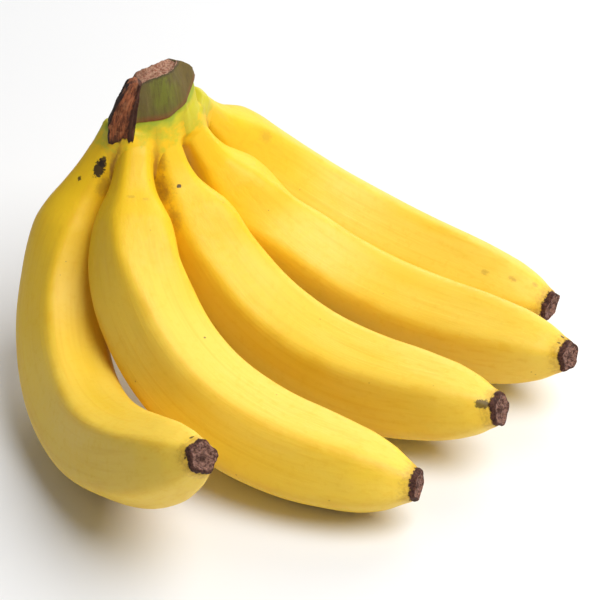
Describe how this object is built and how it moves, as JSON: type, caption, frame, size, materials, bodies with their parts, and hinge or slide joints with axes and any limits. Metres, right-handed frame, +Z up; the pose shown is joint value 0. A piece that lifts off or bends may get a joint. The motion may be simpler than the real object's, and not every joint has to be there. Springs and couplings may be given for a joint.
{
  "type": "bunch of bananas",
  "caption": "Hand of ripe bananas grown on one crown, lying on their bellies with blunt dried tips.",
  "frame": {"origin": "on the surface the bunch rests on, under the middle of its bounding box", "axes": "+Z up from the surface, the raised crown on the -X side, the fingers fanning out of it to curved tips on the +X and -Y sides"},
  "size_m": [0.2112, 0.225, 0.1208],
  "materials": {
    "peel": "satin",
    "dried_stalk": "matte"
  },
  "bodies": {
    "root": {"banana_1": "peel", "banana_2": "peel", "banana_3": "peel", "banana_4": "peel", "banana_5": "peel", "crown": "dried_stalk"}
  },
  "joints": []
}
